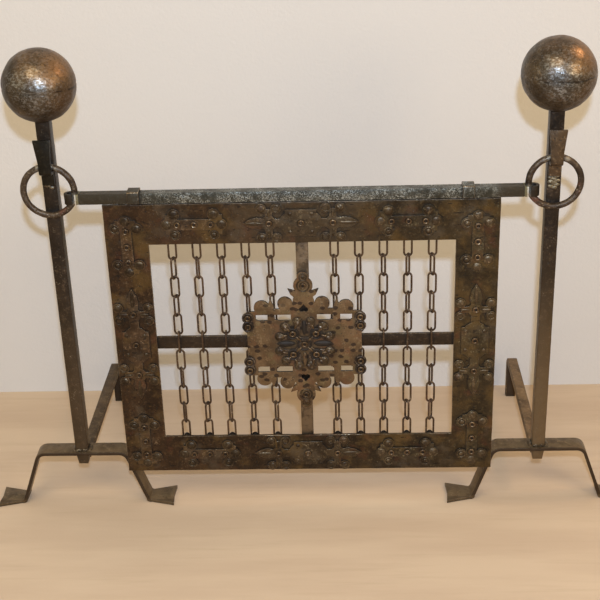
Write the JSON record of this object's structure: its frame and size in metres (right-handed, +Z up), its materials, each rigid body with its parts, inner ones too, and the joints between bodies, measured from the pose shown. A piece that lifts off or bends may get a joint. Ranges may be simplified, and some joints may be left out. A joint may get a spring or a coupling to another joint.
{
  "type": "pair of andirons with hung fire screen",
  "caption": "Pair of wrought-iron andirons with ball finials; rings on their hooks carry a square bar and a framed chain screen with a pierced centre plaque.",
  "frame": {"origin": "on the floor, in the middle of the whole object's footprint", "axes": "+X along the hanging bar to the right one seen from the front, +Y to the back, away from the screen, +Z up"},
  "size_m": [0.984, 0.3695, 0.7235],
  "materials": {
    "post_iron": "hammered dark iron",
    "ball_iron": "hammered bronze-brown iron, worn bright in places",
    "leg_iron": "satin brown iron",
    "billet_iron": "satin brown iron",
    "hook_iron": "dark iron",
    "ring_iron": "hammered iron with traces of rust",
    "bar_iron": "hammered grey iron",
    "frame_iron": "rust-brown iron",
    "strip_iron": "smooth near-black iron",
    "chain_iron": "reddish-brown iron",
    "plaque_iron": "tan-brown pitted iron",
    "rosette_iron": "grey-brown iron",
    "trim_iron": "brown iron",
    "rivet_iron": "worn brown iron"
  },
  "bodies": {
    "andirons": {"left_post": "post_iron", "right_post": "post_iron", "left_ball": "ball_iron", "right_ball": "ball_iron", "left_front_legs": "leg_iron", "right_front_legs": "leg_iron", "left_billet_bar": "billet_iron", "right_billet_bar": "billet_iron", "left_ring_hook": "hook_iron", "right_ring_hook": "hook_iron"},
    "hanging_bar": {"hanging_bar": "bar_iron"},
    "left_ring": {"left_ring": "ring_iron"},
    "right_ring": {"right_ring": "ring_iron"},
    "screen": {"left_screen_hook": "bar_iron", "right_screen_hook": "bar_iron", "top_rail": "frame_iron", "bottom_rail": "frame_iron", "left_stile": "frame_iron", "right_stile": "frame_iron", "mid_bar": "strip_iron", "centre_strip": "strip_iron", "chain_1": "chain_iron", "chain_2": "chain_iron", "chain_3": "chain_iron", "chain_4": "chain_iron", "chain_5": "chain_iron", "chain_6": "chain_iron", "chain_7": "chain_iron", "chain_8": "chain_iron", "chain_9": "chain_iron", "chain_10": "chain_iron", "upper_chain_pins": "strip_iron", "lower_chain_pins": "strip_iron", "plaque": "plaque_iron", "plaque_spacers": "strip_iron", "rosette": "rosette_iron", "corner_florets": "rosette_iron", "plaque_rivets": "rivet_iron", "top_left_ornament": "trim_iron", "top_centre_ornament": "trim_iron", "top_right_ornament": "trim_iron", "bottom_left_ornament": "trim_iron", "bottom_centre_ornament": "trim_iron", "bottom_right_ornament": "trim_iron", "left_upper_ornament": "trim_iron", "left_middle_ornament": "trim_iron", "left_lower_ornament": "trim_iron", "right_upper_ornament": "trim_iron", "right_middle_ornament": "trim_iron", "right_lower_ornament": "trim_iron", "top_rail_rivets": "rivet_iron", "bottom_rail_rivets": "rivet_iron", "left_stile_rivets": "rivet_iron", "right_stile_rivets": "rivet_iron"}
  },
  "joints": [
    {"name": "bar_swing", "type": "hinge", "parent": "andirons", "child": "hanging_bar", "pos_m": [0, -0.14945, 0.56], "axis": [-1, 0, 0], "range_deg": [0, 45]},
    {"name": "left_ring_turn", "type": "hinge", "parent": "hanging_bar", "child": "left_ring", "pos_m": [-0.353, -0.14945, 0.524], "axis": [0, 1, 0], "continuous": true},
    {"name": "right_ring_turn", "type": "hinge", "parent": "hanging_bar", "child": "right_ring", "pos_m": [0.353, -0.14945, 0.524], "axis": [0, 1, 0], "continuous": true},
    {"name": "screen_slide", "type": "slide", "parent": "hanging_bar", "child": "screen", "axis": [1, 0, 0], "range_m": [-0.025, 0.025]}
  ]
}
